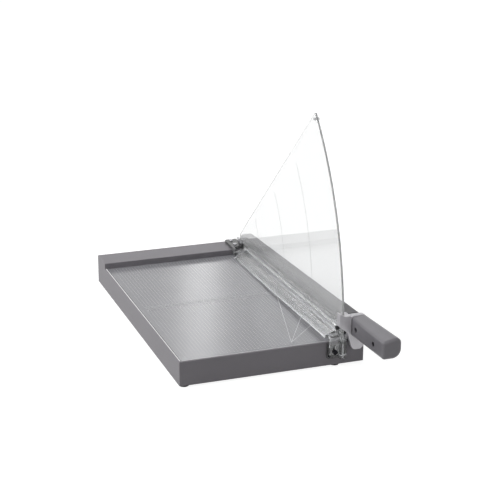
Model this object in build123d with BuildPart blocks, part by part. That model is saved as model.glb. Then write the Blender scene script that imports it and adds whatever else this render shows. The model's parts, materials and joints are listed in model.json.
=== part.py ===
from build123d import *

import os
from math import cos, radians, sin, sqrt

# Lever guillotine paper trimmer, in millimetres. The part's frame has +X to the right, +Y to the back
# and +Z up, with its origin on the floor below the middle of the whole machine. The sizes below are
# places on the bench: x from the base's left side, y from its front face to the back, z from the floor.

# Overall
base_width = 271.0
base_depth = 440.0
grip_reach = 110.0
grip_overhang = 4.5
overall_width = base_width + grip_overhang
overall_depth = base_depth + grip_reach
left_x = -overall_width / 2
front_y = grip_reach - overall_depth / 2

# Base, sheet metal on four feet
foot_height = 3.0
foot_radius = 6.5
foot_inset = 9.0
foot_right_inset = 7.2
table_height = 38.5
sheet = 1.5
rim_width = 2.6
rim_height = 1.5
plate_thickness = 1.3
plate_gap = 0.4
plate_left_gap = 1.0
corner_radius = 1.0
edge_radius = 0.6
bend_radius = 1.2
floor_gap = 0.2
deck_height = table_height - rim_height
floor_top = foot_height + sheet
deck_low = deck_height - sheet

# Side rail, and the slot for offcuts at its left
side_rail_width = 26.0
side_drop = 2.5
scrap_gap = 4.8
cap_thickness = 2.5
cap_gap = 0.3
cap_plug = 6.0
side_x = base_width - side_rail_width
side_top = table_height - side_drop
cut_x = side_x - scrap_gap

# Back rail
rail_depth = 45.5
rail_rise = 10.1
rail_wall = 2.0
rail_front = base_depth - rail_depth
rail_top = deck_height + rail_rise

# Blades
blade_thickness = 3.0
blade_play = 0.1
lower_blade_height = 20.5
table_width = cut_x - blade_thickness
upper_blade_x = cut_x + blade_play
arm_x = upper_blade_x + blade_thickness

# Arm pivot
pivot_from_back = 14.5
pivot_rise = 7.4
stud_radius = 5.0
running_play = 0.04
bushing_wall = 1.5
bracket_reach = 27.5
bracket_drop = 26.5
bracket_rise = 8.1
bracket_foot = 4.5
bracket_screw_inset = 9.0
spacer_radius = 9.0
washer_thickness = 1.5
washer_radius = 8.0
disc_thickness = 0.8
nut_thickness = 3.4
nut_radius = 8.0
pivot_y = base_depth - pivot_from_back
pivot_z = table_height + pivot_rise
bracket_low = table_height - bracket_drop
bracket_top = pivot_z + bracket_rise
bracket_front = pivot_y - bracket_reach
bracket_gap = 0.5
bracket_back = base_depth - cap_thickness - bracket_gap

# Finger guard, a clear sector around the arm pivot
guard_thickness = 3.0
guard_inset = 0.2
guard_overhang = 7.3
guard_angle = 41.75
guard_edge_offset = 6.6
guard_rear = 14.5
guard_leg_gap = 0.4
guard_leg_drop = 22.5
paper_gap = 5.0
nib_depth = 13.0
nib_gap = 1.0
guard_right = table_width - guard_inset
guard_left = guard_right - guard_thickness
guard_radius = pivot_y + guard_overhang
guard_back = pivot_y - guard_rear
guard_leg_low = table_height - guard_leg_drop
guard_low = table_height + paper_gap
leg_front = pivot_y - guard_radius

# Mount of the guard on the back rail
mount_width = 20.0
mount_thickness = 5.0
mount_wall = 3.2
mount_wall_height = 6.5
mount_back = base_depth - 7.0
mount_left = guard_left - mount_width
mount_top = rail_top + mount_thickness

# Mount of the guard on the front face, with a channel for the guard's leg
front_plate_width = 20.0
front_plate_thickness = 2.8
front_plate_drop = 1.5
front_mount_rise = 11.5
channel_wall = 2.8
channel_front = 1.8
leg_play = 0.1
ledge_depth = 5.5
ledge_gap = 0.3
pad_thickness = 2.5
front_plate_left = guard_left - front_plate_width
front_plate_top = table_height - front_plate_drop
front_mount_right = cut_x - 0.2
front_mount_low = guard_leg_low - 2.0
front_mount_top = table_height + front_mount_rise
pad_top = front_mount_top + pad_thickness

# Press bar, hinged in front of the back rail and sprung up at its front end
clamp_gap = 0.8
clamp_width = 22.2
clamp_height = 15.0
rib_width = 5.4
rib_root = 7.5
clamp_edge = 2.4
clamp_lift = 0.95
clamp_seat = 0.2
pin_radius = 1.5
pin_from_rail = 6.5
pin_rise = 6.0
clamp_tail = 4.0
hinge_play = 0.3
tab_gap = 1.1
tab_thickness = 3.0
tab_width = 13.5
tab_inset = 3.4
tab_drop = 31.0
tab_top = -1.3
guide_inset = 6.3
guide_drop = 13.2
guide_radius = 2.0
guide_head_radius = 3.6
guide_play = 1.0
clamp_right = guard_left - clamp_gap
clamp_left = clamp_right - clamp_width
tab_right = clamp_right - tab_inset
guide_x = tab_right - guide_inset
guide_z = table_height - guide_drop
pin_y = rail_front - pin_from_rail
pin_z = table_height + pin_rise

# Lever arm, an inverted channel that tapers to the back
arm_front = 17.0
arm_tail = 9.0
arm_drop = 1.3
arm_wall = 2.5
arm_width_front = 26.0
arm_width_back = 21.6
arm_height_front = 32.6
arm_height_back = 20.5
ridge_inset = 5.1
ridge_drop_front = 5.0
ridge_drop_back = 3.6
arm_edge_radius = 1.0
arm_low = table_height - arm_drop
arm_back = pivot_y + arm_tail
arm_top_front = arm_low + arm_height_front
arm_top_back = arm_low + arm_height_back
arm_left_front = arm_top_front - ridge_drop_front
arm_left_back = arm_top_back - ridge_drop_back

# Cast bracket at the arm's front end: a collar, a nose below it and an ear that rides on the guard
flange_front = -12.0
flange_back = -3.8
flange_gap = 0.3
collar_width = 26.2
collar_rise = 39.7
collar_round = 5.5
cast_radius = 1.2
nose_drop = 11.9
nose_round = 7.0
nose_inset = 4.5
nose_taper = 3.0
nose_step = 6.0
ear_width = 6.4
ear_front = -13.0
ear_back = -2.5
ear_heel = 4.0
ear_gap = 0.3
ear_slope = 10.5
ear_rise = 39.5
finger_rise = 43.0
finger_tip = 1.5
slot_play = 0.5
slot_depth_play = 0.8
tongue_length = 40.0
tongue_play = 0.25
tongue_inset = 4.0
neck_step = 0.6
flange_x = arm_x + flange_gap
flange_right = flange_x + collar_width
nose_low = table_height - nose_drop
collar_top = table_height + collar_rise
ear_x = guard_left - ear_width
ear_bend = cut_x + 0.2
ear_right = flange_x + 0.2
ear_low = pad_top + ear_gap
ear_top = table_height + ear_rise
finger_top = table_height + finger_rise

# Grip, flat on the left and round on the right. It widens to its front end.
grip_step = 1.7
grip_flare = 2.3
grip_root_inset = 5.5
grip_root_rise = 9.5
grip_root_height = 27.0
grip_root_tilt = 3.0
grip_end_rise = 11.5
grip_end_height = 24.5
grip_end_tilt = 6.0
grip_crown = 1.0
grip_left_radius = 4.0
grip_under_radius = 13.0
grip_top_radius = 8.5
grip_end_round = 4.5
core_inset = 11.0
core_thickness = 4.0
core_height = 18.0
core_rise = 1.2
core_end_gap = 12.0
core_play = 0.15
grip_x = flange_x + grip_step
grip_right = base_width + grip_overhang
grip_root_low = table_height + grip_root_rise
grip_end_low = table_height + grip_end_rise
core_x = flange_x + core_inset
grip_split = core_x + core_thickness + 1.5

# Screws
screw_play = 0.1
m3 = 1.5
m4 = 2.0
small_flat = 0.75 * m3
large_flat = 0.75 * m4
pan_height = 1.8
low_pan_height = 1.4
LEFT = (-1, 0, 0)
RIGHT = (1, 0, 0)
FRONT = (0, -1, 0)
DOWN = (0, 0, -1)
UP = (0, 0, 1)
LOW = (Align.CENTER, Align.CENTER, Align.MIN)
HIGH = (Align.CENTER, Align.CENTER, Align.MAX)


def across(x):
    """The upright plane at x. Its sketches are in (y, z) and grow to the right."""
    return Plane(origin=(left_x + x, front_y, 0), x_dir=(0, 1, 0), z_dir=(1, 0, 0))


def facing(y):
    """The upright plane at y. Its sketches are in (x, z) and grow to the front."""
    return Plane(origin=(left_x, front_y + y, 0), x_dir=(1, 0, 0), z_dir=(0, -1, 0))


def seat(x, y, z, outward):
    """The plane of a screw's seat, which faces the screwdriver."""
    return Plane(origin=(left_x + x, front_y + y, z), z_dir=outward)


def block(x, y, z, mode=Mode.ADD):
    """A box. Each argument is the pair of places that it spans."""
    with Locations((left_x + x[0], front_y + y[0], z[0])):
        Box(
            x[1] - x[0],
            y[1] - y[0],
            z[1] - z[0],
            align=(Align.MIN, Align.MIN, Align.MIN),
            mode=mode,
        )


def rod(x, y, z, radius, mode=Mode.ADD):
    """A cylinder along X, which spans the pair of places x."""
    with Locations(seat(x[0], y, z, RIGHT)):
        Cylinder(radius, x[1] - x[0], align=LOW, mode=mode)


def post(x, y, z, radius, mode=Mode.ADD):
    """An upright cylinder, which spans the pair of heights z."""
    with Locations(seat(x, y, z[0], UP)):
        Cylinder(radius, z[1] - z[0], align=LOW, mode=mode)


def bore(place, radius, depth):
    """A plain hole into a seat."""
    with Locations(place):
        Cylinder(radius, depth, align=HIGH, mode=Mode.SUBTRACT)


def flat_bore(place, radius, depth):
    """A countersunk hole for a flat screw."""
    with Locations(place):
        CounterSinkHole(radius + screw_play, 2 * radius, depth, 90)


recess_length = 1.5
recess_width = 0.4
flat_recess_depth = 0.8
pan_recess_depth = 0.7


def cross_recess(place, radius, depth):
    """The cross recess of a screw's head, cut into the face at the plane."""
    with Locations(place):
        Box(recess_length * radius, recess_width * radius, depth, align=HIGH, mode=Mode.SUBTRACT)
        Box(recess_width * radius, recess_length * radius, depth, align=HIGH, mode=Mode.SUBTRACT)


def flat_screw(place, radius, length):
    """A countersunk screw, flush with its seat."""
    with Locations(place):
        Cone(radius, 2 * radius, radius, align=HIGH)
        Cylinder(radius, length, align=HIGH)
    cross_recess(place, radius, flat_recess_depth * radius)


def pan_screw(place, radius, length, head_height):
    """A screw whose round head stands on its seat."""
    with Locations(place):
        Cylinder(2 * radius, head_height, align=LOW)
        Cylinder(radius, length, align=HIGH)
    cross_recess(place.offset(head_height), radius, pan_recess_depth * head_height)


# ---------------------------------------------------------------- base

foot_right_x = table_width - foot_right_inset
foot_places = {
    "foot_front_left": (foot_inset, foot_inset),
    "foot_front_right": (foot_right_x, foot_inset),
    "foot_rear_left": (foot_inset, base_depth - foot_inset),
    "foot_rear_right": (foot_right_x, base_depth - foot_inset),
}
boss_radius = 5.0
side_mid_x = (side_x + base_width) / 2
floor_screw_inset = 66.0
floor_screw_ys = (floor_screw_inset, base_depth - floor_screw_inset)
floor_screw_places = [(x, y) for x in (table_width / 2, side_mid_x) for y in floor_screw_ys]
floor_screw_length = 9.0
foot_screw_length = 10.0
foot_screw_sink = 1.0

rail_screw_y = rail_front + rail_depth / 2
rail_screw_shares = (0.07, 0.5, 0.8)
rail_screw_xs = [table_width * share for share in rail_screw_shares]
rail_screw_length = 8.0

blade_screw_z = table_height - lower_blade_height / 2
blade_end_gap = 0.5
blade_front = sheet + blade_end_gap
blade_back = bracket_front - 1.0
blade_screw_count = 5
blade_screw_pitch = (blade_back - blade_front) / blade_screw_count
blade_screw_ys = [blade_front + blade_screw_pitch * (n + 0.5) for n in range(blade_screw_count)]
blade_screw_length = 8.0
web_boss = 5.0

bracket_screw_ys = [bracket_front + bracket_screw_inset, bracket_back - bracket_screw_inset]
bracket_screw_z = bracket_low + bracket_screw_inset

guide_screw_length = 3.5
front_screw_inset = 3.5
front_screw_x = front_plate_left + front_screw_inset
front_screw_zs = [front_mount_low + front_screw_inset, front_plate_top - front_screw_inset]
leg_screw_radius = 0.8 * m3
leg_screw_y = -4.0
leg_screw_z = guard_leg_low + 2.6

with BuildPart() as base_shell:
    block((0, table_width), (0, base_depth), (foot_height, table_height))
    fillet(base_shell.edges().filter_by(Axis.Z).group_by(Axis.X)[0], corner_radius)
    fillet(base_shell.faces().sort_by(Axis.Z)[-1].edges().group_by(Axis.X)[0], bend_radius)
    inside_x = (sheet, table_width - sheet)
    inside_y = (sheet, base_depth - sheet)
    block(inside_x, inside_y, (foot_height, deck_low), mode=Mode.SUBTRACT)
    recess_x = (rim_width, inside_x[1])
    block(recess_x, (rim_width, rail_front), (deck_height, table_height), mode=Mode.SUBTRACT)
    block((0, table_width), (rail_front, base_depth), (deck_height, table_height), mode=Mode.SUBTRACT)
    block((inside_x[1], table_width), inside_y, (foot_height, floor_top), mode=Mode.SUBTRACT)
    block((table_width, cut_x), (0, sheet), (foot_height, table_height))
    block((table_width, cut_x), (base_depth - sheet, base_depth), (foot_height, deck_height))
    for foot_x, foot_y in foot_places.values():
        post(foot_x, foot_y, (floor_top, deck_low), boss_radius)
        bore(seat(foot_x, foot_y, floor_top, DOWN), m3, foot_screw_length)
    for screw_x, screw_y in floor_screw_places[:2]:
        post(screw_x, screw_y, (floor_top, deck_low), boss_radius)
        bore(seat(screw_x, screw_y, floor_top, DOWN), m3, floor_screw_length)
    for screw_x in rail_screw_xs:
        bore(seat(screw_x, rail_screw_y, deck_height, UP), m3 + screw_play, sheet)
    for screw_y in blade_screw_ys:
        rod((inside_x[1] - web_boss, inside_x[1]), screw_y, blade_screw_z, boss_radius)
        bore(seat(table_width, screw_y, blade_screw_z, RIGHT), m4, blade_screw_length)
    for screw_y in bracket_screw_ys:
        rod((inside_x[1] - web_boss, inside_x[1]), screw_y, bracket_screw_z, boss_radius)
        bore(seat(table_width, screw_y, bracket_screw_z, RIGHT), m4, blade_screw_length)
    bore(seat(guide_x, 0, guide_z, FRONT), guide_radius, guide_screw_length)
    for screw_z in front_screw_zs:
        bore(seat(front_screw_x, 0, screw_z, FRONT), small_flat, sheet)
base_shell.part.label = "base_shell"

with BuildPart() as table_plate:
    block(
        (rim_width + plate_left_gap, inside_x[1] - plate_gap),
        (rim_width + plate_gap, rail_front - plate_gap),
        (deck_height, deck_height + plate_thickness),
    )
    fillet(table_plate.edges().filter_by(Axis.Z), edge_radius)
table_plate.part.label = "table_plate"

# The back rail is hollow below, with a boss for each of its screws.
rear_screw_inset = 9.5
rear_screw_x = (mount_left + guard_left - mount_wall) / 2
rear_screw_ys = [rail_front + rear_screw_inset, mount_back - rear_screw_inset]
rear_screw_length = 8.0
wall_screw_inset = 4.75
wall_screw_ys = [rail_front + wall_screw_inset, guard_back - wall_screw_inset]
wall_screw_z = mount_top + mount_wall_height / 2

with BuildPart() as back_rail:
    block((0, table_width), (rail_front, base_depth), (deck_height, rail_top))
    fillet(back_rail.edges().filter_by(Axis.Z).group_by(Axis.Y)[-1].sort_by(Axis.X)[0], corner_radius)
    fillet(back_rail.faces().sort_by(Axis.Z)[-1].edges().sort_by(Axis.X)[0], bend_radius)
    fillet(back_rail.faces().sort_by(Axis.Z)[-1].edges().sort_by(Axis.Y)[0], edge_radius)
    block(
        (rail_wall, table_width - rail_wall),
        (rail_front + rail_wall, base_depth - rail_wall),
        (deck_height, rail_top - rail_wall),
        mode=Mode.SUBTRACT,
    )
    for screw_x in rail_screw_xs:
        post(screw_x, rail_screw_y, (deck_height, rail_top - rail_wall), boss_radius)
        bore(seat(screw_x, rail_screw_y, deck_height, DOWN), m3, rail_screw_length)
    for screw_y in rear_screw_ys:
        post(rear_screw_x, screw_y, (deck_height, rail_top - rail_wall), boss_radius)
        bore(seat(rear_screw_x, screw_y, rail_top, UP), m3, rear_screw_length)
    rod((table_width - rail_wall, table_width), pivot_y, pivot_z, stud_radius * 2, mode=Mode.SUBTRACT)
back_rail.part.label = "back_rail"

with BuildPart() as side_rail:
    block(
        (side_x, base_width),
        (cap_thickness, base_depth - cap_thickness),
        (foot_height, side_top),
    )
    fillet(side_rail.edges().filter_by(Axis.Y).group_by(Axis.Z)[-1], edge_radius)
    block(
        (side_x + sheet, base_width - sheet),
        (cap_thickness, base_depth - cap_thickness),
        (foot_height, side_top - sheet),
        mode=Mode.SUBTRACT,
    )
    block(
        (side_x, side_x + sheet),
        (cap_thickness, base_depth - cap_thickness),
        (foot_height, floor_top),
        mode=Mode.SUBTRACT,
    )
    for screw_x, screw_y in floor_screw_places[2:]:
        post(screw_x, screw_y, (floor_top, side_top - sheet), boss_radius)
        bore(seat(screw_x, screw_y, floor_top, DOWN), m3, floor_screw_length)
side_rail.part.label = "side_rail"


def end_cap(outer_y, plug_y):
    """A side rail end cap, with the hollow plug that holds it in the rail."""
    block((cut_x + cap_gap, base_width), outer_y, (foot_height, side_top))
    plug_x = (side_x + sheet + cap_gap, base_width - sheet - cap_gap)
    block(plug_x, plug_y, (floor_top + cap_gap, side_top - sheet - cap_gap))
    block(
        (plug_x[0] + sheet, plug_x[1] - sheet),
        plug_y,
        (floor_top + cap_gap + sheet, side_top - 2 * sheet - cap_gap),
        mode=Mode.SUBTRACT,
    )


with BuildPart() as side_rail_front_cap:
    end_cap((0, cap_thickness), (cap_thickness, cap_thickness + cap_plug))
    outer_edges = side_rail_front_cap.edges().filter_by(Axis.Z).group_by(Axis.X)[-1]
    fillet(outer_edges.sort_by(Axis.Y)[0], corner_radius)
side_rail_front_cap.part.label = "side_rail_front_cap"

with BuildPart() as side_rail_rear_cap:
    end_cap(
        (base_depth - cap_thickness, base_depth),
        (base_depth - cap_thickness - cap_plug, base_depth - cap_thickness),
    )
    outer_edges = side_rail_rear_cap.edges().filter_by(Axis.Z).group_by(Axis.X)[-1]
    fillet(outer_edges.sort_by(Axis.Y)[-1], corner_radius)
side_rail_rear_cap.part.label = "side_rail_rear_cap"

with BuildPart() as bottom_plate:
    block(
        (sheet + floor_gap, base_width - sheet - floor_gap),
        (cap_thickness + floor_gap, base_depth - cap_thickness - floor_gap),
        (foot_height, floor_top),
    )
    for screw_x, screw_y in floor_screw_places:
        flat_bore(seat(screw_x, screw_y, foot_height, DOWN), small_flat, sheet)
    for foot_x, foot_y in foot_places.values():
        bore(seat(foot_x, foot_y, foot_height, DOWN), m3 + screw_play, sheet)
bottom_plate.part.label = "bottom_plate"

with BuildPart() as bottom_screws:
    for screw_x, screw_y in floor_screw_places:
        flat_screw(seat(screw_x, screw_y, foot_height, DOWN), small_flat, floor_screw_length)
bottom_screws.part.label = "bottom_screws"


def rubber_foot(place):
    """One round rubber foot, with a sunk hole for its screw."""
    post(place[0], place[1], (0, foot_height), foot_radius)
    bore(seat(place[0], place[1], 0, DOWN), 2 * m3 + screw_play, foot_screw_sink)
    bore(seat(place[0], place[1], 0, DOWN), m3 + screw_play, foot_height)


with BuildPart() as foot_front_left:
    rubber_foot(foot_places["foot_front_left"])
foot_front_left.part.label = "foot_front_left"

with BuildPart() as foot_front_right:
    rubber_foot(foot_places["foot_front_right"])
foot_front_right.part.label = "foot_front_right"

with BuildPart() as foot_rear_left:
    rubber_foot(foot_places["foot_rear_left"])
foot_rear_left.part.label = "foot_rear_left"

with BuildPart() as foot_rear_right:
    rubber_foot(foot_places["foot_rear_right"])
foot_rear_right.part.label = "foot_rear_right"

with BuildPart() as foot_screws:
    for foot_x, foot_y in foot_places.values():
        pan_screw(
            seat(foot_x, foot_y, foot_screw_sink, DOWN),
            m3,
            foot_screw_length,
            pan_recess_depth * foot_screw_sink,
        )
foot_screws.part.label = "foot_screws"

with BuildPart() as rail_screws:
    for screw_x in rail_screw_xs:
        pan_screw(seat(screw_x, rail_screw_y, deck_low, DOWN), m3, rail_screw_length, pan_height)
rail_screws.part.label = "rail_screws"

with BuildPart() as lower_blade:
    lower_blade_z = (table_height - lower_blade_height, table_height)
    block((table_width, cut_x), (blade_front, blade_back), lower_blade_z)
    for screw_y in blade_screw_ys:
        flat_bore(seat(cut_x, screw_y, blade_screw_z, RIGHT), large_flat, blade_thickness)
lower_blade.part.label = "lower_blade"

with BuildPart() as lower_blade_screws:
    for screw_y in blade_screw_ys:
        flat_screw(seat(cut_x, screw_y, blade_screw_z, RIGHT), large_flat, blade_screw_length + 1)
lower_blade_screws.part.label = "lower_blade_screws"

# ---------------------------------------------------------------- arm pivot


def arm_side(y):
    """The place of the arm's right side at y. The arm is narrower at the back."""
    share = (y - arm_front) / (arm_back - arm_front)
    return arm_x + arm_width_front - share * (arm_width_front - arm_width_back)


with BuildPart() as pivot_bracket:
    bracket_y = (bracket_front, bracket_back)
    block((table_width, cut_x), bracket_y, (bracket_low, bracket_top))
    block((cut_x, cut_x + bracket_foot), bracket_y, (bracket_low, bracket_low + blade_thickness))
    fillet(pivot_bracket.edges().filter_by(Axis.X).group_by(Axis.Z)[-1], corner_radius)
    with Locations(seat(table_width, pivot_y, pivot_z, LEFT)):
        CounterSinkHole(stud_radius + running_play, stud_radius + blade_thickness, blade_thickness, 90)
    for screw_y in bracket_screw_ys:
        flat_bore(seat(cut_x, screw_y, bracket_screw_z, RIGHT), large_flat, blade_thickness)
pivot_bracket.part.label = "pivot_bracket"

with BuildPart() as pivot_bracket_screws:
    for screw_y in bracket_screw_ys:
        flat_screw(seat(cut_x, screw_y, bracket_screw_z, RIGHT), large_flat, blade_screw_length + 1)
pivot_bracket_screws.part.label = "pivot_bracket_screws"

bushing_right = arm_side(pivot_y - bushing_wall - stud_radius) + 0.2
washer_x = bushing_right + 0.1
disc_x = washer_x + washer_thickness
nut_x = disc_x + 2 * disc_thickness
stud_end = nut_x + nut_thickness
thread_radius = stud_radius - 1.0

stud_recess_depth = 2.0
stud_chamfer = 0.6

with BuildPart() as pivot_stud:
    rod((table_width, washer_x), pivot_y, pivot_z, stud_radius)
    rod((washer_x, stud_end), pivot_y, pivot_z, thread_radius)
    with Locations(seat(table_width, pivot_y, pivot_z, LEFT)):
        Cone(stud_radius, stud_radius + blade_thickness, blade_thickness, align=HIGH)
    cross_recess(seat(table_width, pivot_y, pivot_z, LEFT), stud_radius, stud_recess_depth)
    chamfer(pivot_stud.faces().sort_by(Axis.X)[-1].edges(), stud_chamfer)
pivot_stud.part.label = "pivot_stud"


def ring(x, outer_radius, inner_radius):
    """A plain ring around the arm pivot, which spans the pair of places x."""
    rod(x, pivot_y, pivot_z, outer_radius)
    rod(x, pivot_y, pivot_z, inner_radius, mode=Mode.SUBTRACT)


with BuildPart() as pivot_spacer:
    ring((cut_x, arm_x - blade_play), spacer_radius, stud_radius + running_play)
pivot_spacer.part.label = "pivot_spacer"

with BuildPart() as pivot_washer:
    ring((washer_x, disc_x), washer_radius, thread_radius + running_play)
pivot_washer.part.label = "pivot_washer"

# Two disc springs, hollow side to hollow side
dish_share = 0.4
dish_rim = 1.5
disc_inset = 0.5

with BuildPart() as pivot_disc_springs:
    for disc in range(2):
        disc_face = disc_x + disc * disc_thickness
        disc_span = (disc_face, disc_face + disc_thickness)
        ring(disc_span, washer_radius - disc_inset, thread_radius + running_play)
    inner_dish = disc_thickness * dish_share
    disc_meeting = nut_x - disc_thickness
    dish_x = (disc_meeting - inner_dish, disc_meeting + inner_dish)
    rod(dish_x, pivot_y, pivot_z, thread_radius + dish_rim, mode=Mode.SUBTRACT)
pivot_disc_springs.part.label = "pivot_disc_springs"

nut_chamfer = 0.4

with BuildPart() as pivot_lock_nut:
    with BuildSketch(across(nut_x)) as nut_outline:
        with Locations((pivot_y, pivot_z)):
            RegularPolygon(nut_radius, 6)
            Circle(thread_radius, mode=Mode.SUBTRACT)
    extrude(amount=nut_thickness)
    chamfer(pivot_lock_nut.faces().sort_by(Axis.X)[-1].edges().filter_by(GeomType.LINE), nut_chamfer)
pivot_lock_nut.part.label = "pivot_lock_nut"

# ---------------------------------------------------------------- finger guard

lift = radians(guard_angle)
guard_reach = sqrt(guard_radius**2 - guard_edge_offset**2)
guard_tip = (
    pivot_y - guard_reach * cos(lift) + guard_edge_offset * sin(lift),
    pivot_z + guard_reach * sin(lift) + guard_edge_offset * cos(lift),
)
edge_slope = sin(lift) / cos(lift)
guard_back_top = guard_tip[1] - (guard_back - guard_tip[0]) * edge_slope
arc_middle = lift / 2
guard_arc = (pivot_y - guard_radius * cos(arc_middle), pivot_z + guard_radius * sin(arc_middle))
leg_back = -guard_leg_gap
nib_back = rail_front - guard_leg_gap
nib_front = nib_back - nib_depth
nib_low = table_height + nib_gap
guard_over_rail = rail_top + guard_leg_gap

# The stop stud that the ear of the arm meets at the top of its travel
stop_radius = 2.0
stop_inset = 4.8
stop_setback = 0.15
stop_reach = guard_radius - stop_inset
stop_angle = radians(guard_angle - stop_setback)
stop_y = pivot_y - stop_reach * cos(stop_angle)
stop_z = pivot_z + stop_reach * sin(stop_angle)
stop_left = 2.0
stop_right = 3.0

guard_tip_round = 2.0
guard_back_round = 4.0
guard_chamfer = 0.3

with BuildPart() as guard_plate:
    with BuildSketch(across(guard_left)) as guard_outline:
        with BuildLine():
            Line((leg_front, guard_leg_low), (leg_front, pivot_z))
            ThreePointArc((leg_front, pivot_z), guard_arc, guard_tip)
            Polyline(
                guard_tip,
                (guard_back, guard_back_top),
                (guard_back, guard_over_rail),
                (nib_back, guard_over_rail),
                (nib_back, nib_low),
                (nib_front, nib_low),
                (nib_front, guard_low),
                (leg_back, guard_low),
                (leg_back, guard_leg_low),
                (leg_front, guard_leg_low),
            )
        make_face()
        fillet(guard_outline.vertices().sort_by_distance(guard_tip)[0], guard_tip_round)
        fillet(guard_outline.vertices().sort_by_distance((guard_back, guard_back_top))[0], guard_back_round)
    extrude(amount=guard_thickness)
    chamfer(guard_plate.faces().filter_by(Axis.X).edges().sort_by(Edge.length)[-4:], guard_chamfer)
    rod((guard_left, guard_right), pin_y, pin_z, pin_radius, mode=Mode.SUBTRACT)
    rod((guard_left, guard_right), stop_y, stop_z, stop_radius, mode=Mode.SUBTRACT)
    leg_screw_hole = leg_screw_radius + screw_play
    rod((guard_left, guard_right), leg_screw_y, leg_screw_z, leg_screw_hole, mode=Mode.SUBTRACT)
    for screw_y in wall_screw_ys:
        rod((guard_left, guard_right), screw_y, wall_screw_z, small_flat, mode=Mode.SUBTRACT)
guard_plate.part.label = "guard_plate"

with BuildPart() as guard_stop:
    rod((guard_left - stop_left, guard_right + stop_right), stop_y, stop_z, stop_radius)
guard_stop.part.label = "guard_stop"

lug_width = 3.2
lug_reach = 5.0
lug_drop = 4.0
mount_corner_round = 4.0
mount_wall_round = 3.0
mount_lug_round = 2.5
with BuildPart() as guard_rear_mount:
    lug_x = (mount_left, mount_left + lug_width)
    wall_x = (guard_left - mount_wall, guard_left)
    block((mount_left, guard_left), (rail_front, mount_back), (rail_top, mount_top))
    block(wall_x, (rail_front, guard_back), (rail_top, mount_top + mount_wall_height))
    block(lug_x, (pin_y - lug_reach, rail_front), (pin_z - lug_drop, mount_top))
    upright_edges = guard_rear_mount.edges().filter_by(Axis.Z).group_by(Axis.X)[0]
    fillet(upright_edges.sort_by(Axis.Y)[-1], mount_corner_round)
    fillet(guard_rear_mount.edges().filter_by(Axis.X).group_by(Axis.Z)[-1], mount_wall_round)
    fillet(guard_rear_mount.edges().filter_by(Axis.X).group_by(Axis.Y)[0], mount_lug_round)
    rod(lug_x, pin_y, pin_z, pin_radius, mode=Mode.SUBTRACT)
    for screw_y in rear_screw_ys:
        bore(seat(rear_screw_x, screw_y, mount_top, UP), m3 + screw_play, mount_thickness)
    for screw_y in wall_screw_ys:
        rod(wall_x, screw_y, wall_screw_z, small_flat + screw_play, mode=Mode.SUBTRACT)
guard_rear_mount.part.label = "guard_rear_mount"

with BuildPart() as guard_rear_screws:
    for screw_y in rear_screw_ys:
        head_seat = seat(rear_screw_x, screw_y, mount_top, UP)
        pan_screw(head_seat, m3, mount_thickness + rear_screw_length - 1, pan_height)
guard_rear_screws.part.label = "guard_rear_screws"

with BuildPart() as guard_mount_screws:
    for screw_y in wall_screw_ys:
        head_seat = seat(guard_left - mount_wall, screw_y, wall_screw_z, LEFT)
        pan_screw(head_seat, small_flat, mount_wall + guard_thickness, low_pan_height)
guard_mount_screws.part.label = "guard_mount_screws"

channel_left = guard_left - channel_wall
front_mount_round = 1.5
with BuildPart() as guard_front_mount:
    channel_y = (leg_front - channel_front, 0)
    channel_z = (front_mount_low, front_plate_top)
    leg_x = (guard_left - leg_play, guard_right + leg_play)
    block((front_plate_left, front_mount_right), (-front_plate_thickness, 0), channel_z)
    block((channel_left, front_mount_right), channel_y, channel_z)
    block((leg_x[1], front_mount_right), channel_y, (front_mount_low, front_mount_top))
    block((leg_x[1], front_mount_right), (0, ledge_depth), (table_height + ledge_gap, front_mount_top))
    block(leg_x, (leg_front - leg_play, 0), (front_mount_low, front_plate_top), mode=Mode.SUBTRACT)
    fillet(guard_front_mount.edges().filter_by(Axis.Y).group_by(Axis.X)[0], front_mount_round)
    guide_seat = seat(guide_x, -front_plate_thickness, guide_z, FRONT)
    bore(guide_seat, guide_radius + screw_play, front_plate_thickness)
    for screw_z in front_screw_zs:
        head_seat = seat(front_screw_x, -front_plate_thickness, screw_z, FRONT)
        flat_bore(head_seat, small_flat, front_plate_thickness)
    rod((channel_left, leg_x[0]), leg_screw_y, leg_screw_z, leg_screw_radius, mode=Mode.SUBTRACT)
    leg_screw_hole = leg_screw_radius + screw_play
    rod((leg_x[1], front_mount_right), leg_screw_y, leg_screw_z, leg_screw_hole, mode=Mode.SUBTRACT)
guard_front_mount.part.label = "guard_front_mount"

with BuildPart() as guard_front_screws:
    for screw_z in front_screw_zs:
        head_seat = seat(front_screw_x, -front_plate_thickness, screw_z, FRONT)
        flat_screw(head_seat, small_flat, front_plate_thickness + sheet + 0.5)
guard_front_screws.part.label = "guard_front_screws"

with BuildPart() as guard_leg_screw:
    head_seat = seat(front_mount_right, leg_screw_y, leg_screw_z, RIGHT)
    leg_screw_length = front_mount_right - channel_left - ledge_gap
    pan_screw(head_seat, leg_screw_radius, leg_screw_length, low_pan_height)
guard_leg_screw.part.label = "guard_leg_screw"

with BuildPart() as stop_pad:
    block(
        (guard_right + 2 * leg_play, front_mount_right),
        (leg_front + ledge_gap, ledge_depth),
        (front_mount_top, pad_top),
    )
stop_pad.part.label = "stop_pad"

# ---------------------------------------------------------------- press bar

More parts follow.
